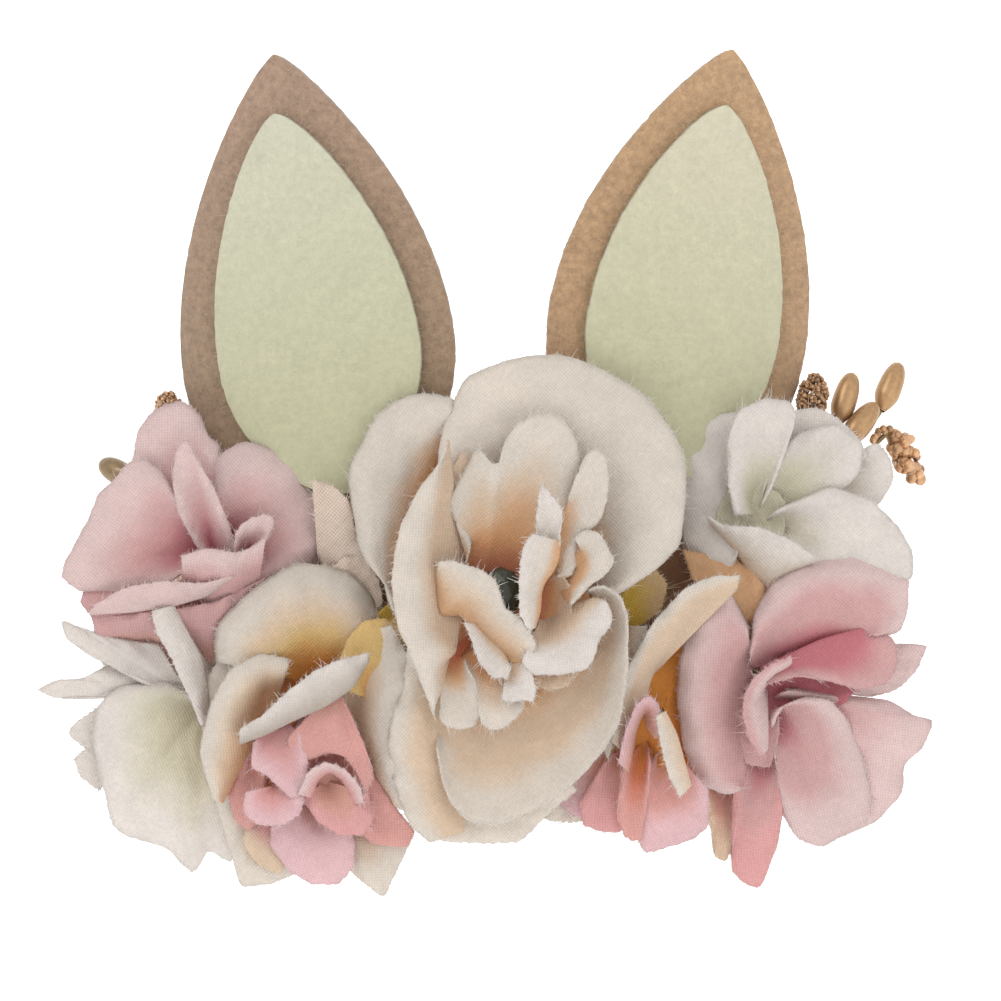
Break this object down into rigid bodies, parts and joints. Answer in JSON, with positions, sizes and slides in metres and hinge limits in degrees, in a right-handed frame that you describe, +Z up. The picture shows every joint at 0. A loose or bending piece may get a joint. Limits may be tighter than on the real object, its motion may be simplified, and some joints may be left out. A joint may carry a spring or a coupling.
{
  "type": "bunny ear baby headband",
  "caption": "Soft knitted baby headband with two felt rabbit ears and a row of frayed cloth flowers, gold stamens and berries fixed to its front.",
  "frame": {"origin": "middle of the head hollow at half the band's height, where a head would be", "axes": "+Z up as worn, ears up; -Y is the front, where the flowers face; +X is to the right of someone looking at the flowers"},
  "size_m": [0.1407, 0.1336, 0.1288],
  "materials": {
    "knit": "soft fine stretch knit, matt",
    "backing_felt": "tan wool felt, matt and fuzzy",
    "ear_felt": "tan wool felt, matt and fuzzy",
    "inner_felt": "pale mint cream felt, matt and fuzzy",
    "cream_cloth": "thin plain-weave cotton, frayed edges",
    "peach_cloth": "thin plain-weave cotton dyed peach to red-brown",
    "pink_cloth": "thin plain-weave cotton dyed rose pink",
    "orange_cloth": "thin plain-weave cotton dyed cream to orange",
    "white_cloth": "thin plain-weave cotton, off-white with a green tint",
    "gauze_cloth": "open beige gauze",
    "leaf_cloth": "thin olive cloth",
    "dark_pip": "dark green-black, waxy",
    "gold_satin": "antique gold lacquer, satin",
    "glitter": "bronze glitter grains"
  },
  "bodies": {
    "root": {"band": "knit", "felt_backing": "backing_felt", "ear_left_outer": "ear_felt", "ear_left_inner": "inner_felt", "ear_right_outer": "ear_felt", "ear_right_inner": "inner_felt", "rose_centre_pip": "dark_pip", "rose_inner_petals": "peach_cloth", "rose_middle_petals": "cream_cloth", "rose_outer_petals": "cream_cloth", "pink_right_inner_petals": "pink_cloth", "pink_right_outer_petals": "pink_cloth", "orange_right_inner_petals": "orange_cloth", "orange_right_outer_petals": "orange_cloth", "pink_left_inner_petals": "pink_cloth", "pink_left_outer_petals": "pink_cloth", "orange_left_fold": "cream_cloth", "orange_left_inner_petals": "pink_cloth", "orange_left_outer_petals": "orange_cloth", "white_left_fold": "white_cloth", "white_left_petals": "white_cloth", "white_right_inner_petals": "white_cloth", "white_right_outer_petals": "white_cloth", "gauze_petal": "gauze_cloth", "left_leaf": "leaf_cloth", "right_leaf": "leaf_cloth", "peach_petal": "peach_cloth", "gold_pip_left": "gold_satin", "glitter_sprig_left": "glitter", "glitter_sprig_right": "glitter", "gold_pip_right_1": "gold_satin", "gold_pip_right_2": "gold_satin", "gold_pip_right_3": "gold_satin", "berry_sprig": "gold_satin"}
  },
  "joints": []
}
